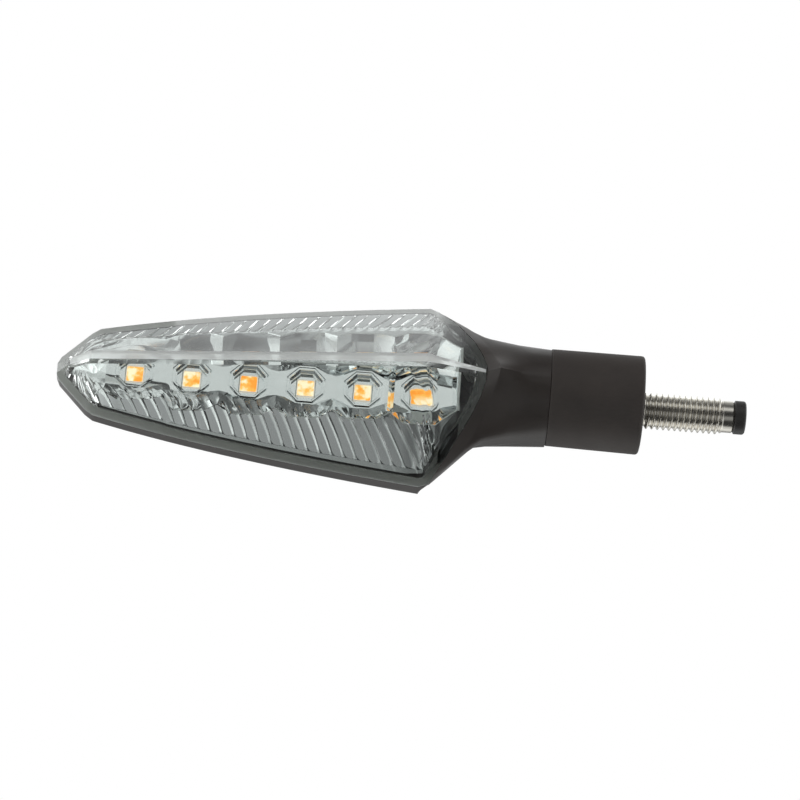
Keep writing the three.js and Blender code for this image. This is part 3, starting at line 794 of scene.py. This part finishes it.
def cup_points(apothem, y):
    """The upper half of an octagonal ring in the cup, with a point more at each side."""
    corner = apothem * math.tan(math.pi / 8)
    pts = [(-apothem, corner * 0.45), (-apothem, corner), (-corner, apothem), (corner, apothem),
           (apothem, corner), (apothem, corner * 0.45)]
    return pts, [y] * 6


def window_points(y):
    half = WINDOW_HALF
    pts = [(-half, half * 0.3), (-half, half), (-half * 0.4, half), (half * 0.4, half), (half, half),
           (half, half * 0.3)]
    return pts, [y] * 6


def whole_cell_ring(i, pts, ys):
    """The 12 points of a ring round a light source, from its upper half."""
    x0 = led_middle(i)[0][0]
    upper = [(x0 + x, y, z) for (x, z), y in zip(pts, ys)]
    return upper + [(x, y, -z) for x, y, z in reversed(upper)]


def bowl_ring(i, stage):
    """One ring of a bowl. The last two bowls are walled off at their sides, which lean inwards."""
    pts, ys = bowl_points(i, stage)
    inward = SIDE_STEP.get(stage, 0.0)
    if i == LED_COUNT - 1:
        pts[0] = (pts[0][0] + inward * 0.6, pts[0][1])
        pts[5] = (pts[5][0] - inward * 1.7, pts[5][1])
    if i == LED_COUNT - 2:
        pts[5] = (pts[5][0] - inward * 0.5, pts[5][1])
    return whole_cell_ring(i, pts, ys)


def cell_rings(i):
    """All rings of a light source's cell, from the reflector's edge down through bowl, cup and window."""
    mouth, seat = CUP_MOUTH / 2, CUP_SEAT / 2
    cups = [(mouth, PLATE_Y), (mouth - 0.08, PLATE_Y + 0.5), (mouth - 0.26, PLATE_Y + 0.5),
            (mouth - 0.32, PLATE_Y - 0.25), (mouth - 0.62, PLATE_Y - 0.25), (mouth - 0.72, PLATE_Y + 0.3),
            (seat, CUP_SEAT_Y - 0.35), (seat - 0.15, CUP_SEAT_Y)]
    rings = [bowl_ring(i, stage) for stage in BOWL_STAGES]
    rings += [whole_cell_ring(i, *cup_points(*cup)) for cup in cups]
    return rings + [whole_cell_ring(i, *window_points(y)) for y in (CUP_SEAT_Y, WINDOW_BACK_Y)]


def cell_faces(i, base, ring_count):
    """Quads between a cell's rings. The bowls run into each other, except where one is walled off."""
    walled = {LEFT_SIDE: i in (0, LED_COUNT - 1), RIGHT_SIDE: i >= LED_COUNT - 2}
    faces = []
    for r in range(ring_count - 1):
        on_wing = r < BOWL_STAGES.index("crest")
        in_bowl = r < BOWL_STAGES.index("floor")
        for k in range(RING_POINTS):
            if in_bowl and k in walled and (on_wing or not walled[k]):
                continue
            a = base + r * RING_POINTS + k
            b = base + r * RING_POINTS + (k + 1) % RING_POINTS
            faces.append((a, b, b + RING_POINTS, a + RING_POINTS))
    return faces


def wing_ends(base, upper, lower):
    """Where a cell's edge, lip and crest rings end at one side, above and below."""
    return [[base + ring * RING_POINTS + k for ring in range(3)] for k in (upper, lower)]


def close_tip(verts, faces):
    """Carries the first cell's wing round the tip."""
    start = len(verts)
    tip = [(x, REFLECTOR_EDGE_Y, z) for x, z in REFLECTOR_TIP]
    verts.extend(tip + [(x, y, -z) for x, y, z in reversed(tip)])
    (e_up, l_up, c_up), (e_lo, l_lo, c_lo) = wing_ends(0, 0, LEFT_SIDE)
    faces += [(e_up, l_up, start), (l_up, c_up, start + 1, start), (c_up, c_lo, start + 3, start + 2),
              (c_up, start + 2, start + 1), (c_lo, l_lo, start + 5, start + 4), (c_lo, start + 4, start + 3),
              (l_lo, e_lo, start + 5)]


def close_end(verts, faces, last):
    """Carries the last cell's wing down to the reflector's end near the stalk."""
    end_x = box_mm("reflector")[1][0]
    (e_up, l_up, c_up), (e_lo, l_lo, c_lo) = wing_ends(last, RIGHT_SIDE, RIGHT_SIDE + 1)
    s = len(verts)
    top = verts[l_up]
    edge_end = verts[e_up][2] - 1.0
    verts.extend([(end_x, top[1], top[2]), (end_x, top[1], -top[2]),
                  (end_x, REFLECTOR_EDGE_Y, edge_end), (end_x, REFLECTOR_EDGE_Y, -edge_end)])
    faces += [(l_up, s, s + 1, l_lo, c_lo, c_up), (e_up, s + 2, s, l_up), (e_lo, l_lo, s + 1, s + 3),
              (s, s + 2, s + 3, s + 1)]


def reflector_surface():
    """The reflector's bright face as one open surface: vertices and faces."""
    verts, faces = [], []
    for i in range(LED_COUNT):
        base = len(verts)
        rings = cell_rings(i)
        for ring in rings:
            verts.extend(ring)
        faces += cell_faces(i, base, len(rings))
    close_tip(verts, faces)
    close_end(verts, faces, base)
    return verts, faces


def make_reflector():
    verts, faces = reflector_surface()
    mesh = bpy.data.meshes.new("bright_reflector")
    mesh.from_pydata([tuple(np.array(v) * MM) for v in verts], [], faces)
    work = bmesh.new()
    work.from_mesh(mesh)
    bmesh.ops.remove_doubles(work, verts=work.verts, dist=0.02 * MM)
    bmesh.ops.recalc_face_normals(work, faces=work.faces)
    if sum(f.normal.y * f.calc_area() for f in work.faces) > 0:
        bmesh.ops.reverse_faces(work, faces=work.faces)
    work.to_mesh(mesh)
    work.free()
    piece = bpy.data.objects.new("bright_reflector", mesh)
    bpy.context.scene.collection.objects.link(piece)
    step = piece.modifiers.new("skin", "SOLIDIFY")
    step.thickness = REFLECTOR_SKIN * MM
    step.offset = -1.0
    apply_modifiers(piece, sharp=12)
    assign(piece, "lamp", [CHROME, CREST_PAINTED_HIGHLIGHT], ["reflector"])
    # Front-facing crest faces get the pale grey, a painted highlight in place of the chrome's bright line.
    for face in piece.data.polygons:
        if face.normal.y < -0.9 and face.center.y < (PLATE_Y - 2) * MM:
            face.material_index = 1


make_reflector()


# ---------------------------------------------------------------- stalk

PIVOT_X = frame["joints"][0]["pos_m"][0] / MM
STALK_END_X = box_mm("rubber_stalk")[1][0]
STALK_POWER = 2.1
STALK_SIDES = 96
STALK_FRONT = (-13.1, 0.3)
STALK_BACK = (7.7, 0.7)
STALK_HALF = (10.4, 0.2)
STALK_EDGE = 0.7


def squarer(value):
    """A sine or cosine, made a little squarer than a circle's."""
    return np.sign(value) * np.abs(value) ** (2 / STALK_POWER)


def stalk_ring(x, shrink=0.0):
    share = (x - SEAM_X) / (STALK_END_X - SEAM_X)
    front, back, half = (at_seam + growth * share for at_seam, growth in (STALK_FRONT, STALK_BACK, STALK_HALF))
    front, back, half = front + shrink, back - shrink, half - shrink
    turn = np.linspace(0, 2 * math.pi, STALK_SIDES, endpoint=False)
    y = (front + back) / 2 - (back - front) / 2 * squarer(np.cos(turn))
    return np.stack([np.full(STALK_SIDES, x), y, half * squarer(np.sin(turn))], 1)


def make_stalk():
    start, end = SEAM_X + SEAM_GAP, STALK_END_X
    quarter = np.linspace(0, math.pi / 2, 5)
    rounding = [(STALK_EDGE * (1 - math.cos(a)), STALK_EDGE * (1 - math.sin(a))) for a in quarter]
    near = [(start + 0.25 * dx / STALK_EDGE, 0.3 * s / STALK_EDGE) for dx, s in rounding]
    outer = [(end - dx, s) for dx, s in reversed(rounding)]
    lamp_side = near + [(x, 0) for x in np.linspace(start + 1.0, PIVOT_X, 12)]
    mount_side = [(x, 0) for x in np.linspace(PIVOT_X, end - 1.2, 12)] + outer
    halves = [
        ("stalk_lamp_half", lamp_side, "lamp", (start + 1.5, PIVOT_X)),
        ("stalk_mount_half", mount_side, "mount", (end - 2.0, PIVOT_X)),
    ]
    for name, rows, body, (first, last) in halves:
        piece = make(name, *loft([stalk_ring(x, s) for x, s in rows]))
        dress(piece, [RUBBER], ["rubber_stalk"])
        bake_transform(piece)


make_stalk()


# ---------------------------------------------------------------- stud and bush

THREAD_PITCH = 1.25
THREAD_ROOT = 3.36
THREAD_CREST = 3.97
STUD_TIP_RADIUS = 3.45
STUD_TIP_LENGTH = 2.3
THREAD_START_X = 0.2
THREAD_SIDES = 64
THREAD_STEPS = 14


def make_stud():
    stud_end = box_mm("mounting_stud")[1][0]
    crest, tip_radius = THREAD_CREST, STUD_TIP_RADIUS
    start, end = THREAD_START_X, stud_end - STUD_TIP_LENGTH
    turn = np.linspace(0, 2 * math.pi, THREAD_SIDES, endpoint=False)
    xs = np.arange(start, end + 1e-6, THREAD_PITCH / THREAD_STEPS)
    rings = [[(-2.0, -THREAD_ROOT * math.cos(a), THREAD_ROOT * math.sin(a)) for a in turn]]
    for x in xs:
        phase = np.mod(x / THREAD_PITCH - turn / (2 * math.pi), 1.0)
        rise = np.clip(1.25 - np.abs(2 * phase - 1) * 1.6, 0, 1)
        fade = min(1, (x - start) / 0.8)
        near_tip = np.clip((end - x) / 1.1, 0, 1)
        radius = THREAD_ROOT + (crest - THREAD_ROOT) * rise * fade
        radius = np.minimum(radius, tip_radius + (crest - tip_radius) * near_tip)
        rings.append(np.stack([np.full(THREAD_SIDES, x), -radius * np.cos(turn), radius * np.sin(turn)], 1))
    for x, r in ((end + 0.1, tip_radius), (stud_end - 0.35, tip_radius), (stud_end, tip_radius - 0.3)):
        rings.append([(x, -r * math.cos(a), r * math.sin(a)) for a in turn])
    piece = make("threaded_stud", *loft(rings), sharp=40)
    assign(piece, "mount", [STEEL], ["mounting_stud"])


def make_bush():
    low, high = box_mm("stud_end_bush")
    head = box_mm("mounting_stud")[1][0] + 0.02
    radius = (high[1] - low[1]) / 2
    profile = [(head - 1.0, radius - 1.6), (head, radius - 1.6), (head + 0.02, radius - 0.25),
               (head + 0.2, radius), (high[0] - 0.55, radius), (high[0] - 0.25, radius - 0.12),
               (high[0] - 0.06, radius - 0.4), (high[0], radius - 0.8)]
    piece = make("end_bush", *revolve(profile, 64))
    for side in (1, -1):
        z = side * (box_mm("live_contact")[0][2] + box_mm("live_contact")[1][2]) / 2
        hole = make("hole", *revolve([(high[0] - 1.8, 0.85), (high[0] + 1, 0.85)], 24, (0.0, z)))
        boolean(piece, hole, "DIFFERENCE")
    bevel(piece, 0.08, 2, 40)
    assign(piece, "mount", [BUSH], ["stud_end_bush"])


make_stud()
make_bush()


# ---------------------------------------------------------------- leads

LEAD_SIDES = 16
LEAD_SPANS = [
    ("lamp", None, -18.2),
    ("lamp", "stalk", PIVOT_X),
    ("stalk", "mount", -3.0),
    ("mount", None, box_mm("live_lead")[1][0] + 1.0),
]
LEAD_ROUTE = [(-48.5, 6.2), (-45.0, 6.4), (-40.0, 6.4), (-35.0, 6.3), (-31.0, 4.9), (-26.0, 2.2), (-22.0, 0.5),
              (-18.0, 0.0), (-5.0, 0.0)]
LEAD_START_Y = 5.6
LEAD_PLACES = 131


def lead_route(node):
    """The middle of a lead at evenly spaced places, its height and its radius."""
    low, high = box_mm(node)
    xs, ys = np.array([(low[0], LEAD_START_Y), *LEAD_ROUTE, (high[0], 0.0)]).T
    fine = np.linspace(low[0], high[0], LEAD_PLACES)
    y = np.interp(fine, xs, ys)
    for _ in range(6):
        y[1:-1] = (y[:-2] + 2 * y[1:-1] + y[2:]) / 4
    return fine, y, (low[2] + high[2]) / 2, (high[2] - low[2]) / 2


def make_lead(node, material):
    xs, ys, z, radius = lead_route(node)
    turn = np.linspace(0, 2 * math.pi, LEAD_SIDES, endpoint=False)
    slopes = np.gradient(ys, xs)
    start = xs[0] - 0.01
    for k, (a, b, stop) in enumerate(LEAD_SPANS):
        stop = min(stop, xs[-1] + 0.01)
        rings = []
        for x, y, slope in zip(xs, ys, slopes):
            if start - 0.6 <= x <= stop + 0.6:
                side = np.array([-slope, 1.0]) / math.hypot(slope, 1.0)
                rings.append([(x + radius * math.cos(t) * side[0], y + radius * math.cos(t) * side[1],
                               z + radius * math.sin(t)) for t in turn])
        piece = make(f"{node}_span_{k + 1}", *loft(rings))
        dress(piece, [material], [node])
        if b is None:
            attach(piece, a)
        else:
            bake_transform(piece)
        start = stop


make_lead("live_lead", LEAD_RED)
make_lead("ground_lead", LEAD_BLACK)


# ---------------------------------------------------------------- CAD pieces that stay

KEPT = {
    "lens_seal": SEALANT, "potting_plug": SEALANT, "circuit_board": LAMINATE, "driver_chip": CHIP,
    "diode": CHIP, "resistor_1": CHIP, "resistor_2": CHIP, "resistor_3": CHIP, "capacitor": CERAMIC,
    "board_screw_1": STEEL, "board_screw_2": STEEL, "live_solder_joint": SOLDER,
    "ground_solder_joint": SOLDER, "live_contact": BRASS, "ground_contact": BRASS,
}
for kept_node, kept_material in KEPT.items():
    kept_mesh = frame["nodes"][kept_node].data
    kept_mesh.materials.clear()
    kept_mesh.materials.append(kept_material)


# ---------------------------------------------------------------- stage and light

FLOOR_Z = -0.75
FLOOR_REACH = 8.0


def make_floor():
    mesh = bpy.data.meshes.new("floor")
    corners = [(x * FLOOR_REACH, y * FLOOR_REACH, FLOOR_Z) for x, y in ((-1, -1), (1, -1), (1, 1), (-1, 1))]
    mesh.from_pydata(corners, [], [(0, 1, 2, 3)])
    floor = bpy.data.objects.new("floor", mesh)
    bpy.context.scene.collection.objects.link(floor)
    n = Nodes("floor_pale")
    tones = [(0.3, (0.74, 0.74, 0.73)), (0.7, (0.8, 0.8, 0.79))]
    n.link(n.ramp(n.noise(3.0), tones), n.shader.inputs["Base Color"])
    n.set(Roughness=0.8)
    mesh.materials.append(n.material)
    floor.visible_glossy = False
    floor.visible_transmission = False


WORLD_HEIGHTS = [(0.0, 0.03), (0.08, 0.03), (0.14, 0.27), (0.26, 0.35), (0.32, 0.04), (0.5, 0.02),
                 (0.62, 0.05), (0.68, 0.75), (0.78, 0.85), (0.88, 0.1), (0.96, 0.12), (1.0, 0.42)]
WORLD_SIDES = [(0.0, 1.0), (0.12, 0.9), (0.19, 0.25), (0.4, 0.03), (0.7, 0.0), (0.86, 0.1), (0.93, 0.8),
               (1.0, 0.9)]
WORLD_DEPTHS = [(0.0, 0.0), (0.58, 0.0), (0.64, 0.7), (0.85, 0.9), (1.0, 0.3)]


def make_world():
    """A white backdrop, and for reflections a studio: soft zones by height, by side and by depth."""
    world = bpy.data.worlds.new("studio")
    bpy.context.scene.world = world
    world.use_nodes = True
    tree = world.node_tree
    tree.nodes.clear()
    add = tree.nodes.new
    links = tree.links.new
    coords = add("ShaderNodeTexCoord")
    split = add("ShaderNodeSeparateXYZ")
    links(coords.outputs["Generated"], split.inputs[0])
    tones = []
    for axis, stops in (("Z", WORLD_HEIGHTS), ("X", WORLD_SIDES), ("Y", WORLD_DEPTHS)):
        spread = add("ShaderNodeMapRange")
        spread.inputs["From Min"].default_value = -1.0
        links(split.outputs[axis], spread.inputs["Value"])
        ramp = add("ShaderNodeValToRGB")
        points = ramp.color_ramp.elements
        while len(points) < len(stops):
            points.new(0.5)
        for point, (place, value) in zip(points, stops):
            point.position = place
            point.color = (value * 0.98, value, value, 1.0)
        links(spread.outputs["Result"], ramp.inputs["Fac"])
        tones.append(ramp.outputs["Color"])
    total = tones[0]
    for tone in tones[1:]:
        step = add("ShaderNodeVectorMath")
        links(total, step.inputs[0])
        links(tone, step.inputs[1])
        total = step.outputs["Vector"]
    studio = add("ShaderNodeBackground")
    links(total, studio.inputs["Color"])
    backdrop = add("ShaderNodeBackground")
    backdrop.inputs["Color"].default_value = (1.0, 1.0, 1.0, 1.0)
    path = add("ShaderNodeLightPath")
    mix = add("ShaderNodeMixShader")
    links(path.outputs["Is Camera Ray"], mix.inputs[0])
    links(studio.outputs[0], mix.inputs[1])
    links(backdrop.outputs[0], mix.inputs[2])
    links(mix.outputs[0], add("ShaderNodeOutputWorld").inputs["Surface"])


def make_lamp(name, place, target, size, power):
    data = bpy.data.lights.new(name, "AREA")
    data.shape = "RECTANGLE"
    data.size, data.size_y = size
    data.energy = power
    lamp = bpy.data.objects.new(name, data)
    bpy.context.scene.collection.objects.link(lamp)
    lamp.location = place
    lamp.rotation_euler = (Vector(place) - Vector(target)).to_track_quat("Z", "Y").to_euler()
    lamp.visible_glossy = False
    lamp.visible_transmission = False


make_floor()
make_world()
middle = Vector((-0.055, -0.003, 0.0))
make_lamp("key_above", (-0.3, -0.7, 1.5), middle, (1.6, 1.0), 9.0)
make_lamp("fill_below", (0.1, -1.3, -0.9), middle, (1.2, 0.8), 3.5)
make_lamp("rim_right", (0.9, 0.2, 0.8), middle, (0.5, 0.9), 3.0)

scene = bpy.context.scene
scene.view_settings.view_transform = "Standard"
scene.view_settings.look = "None"
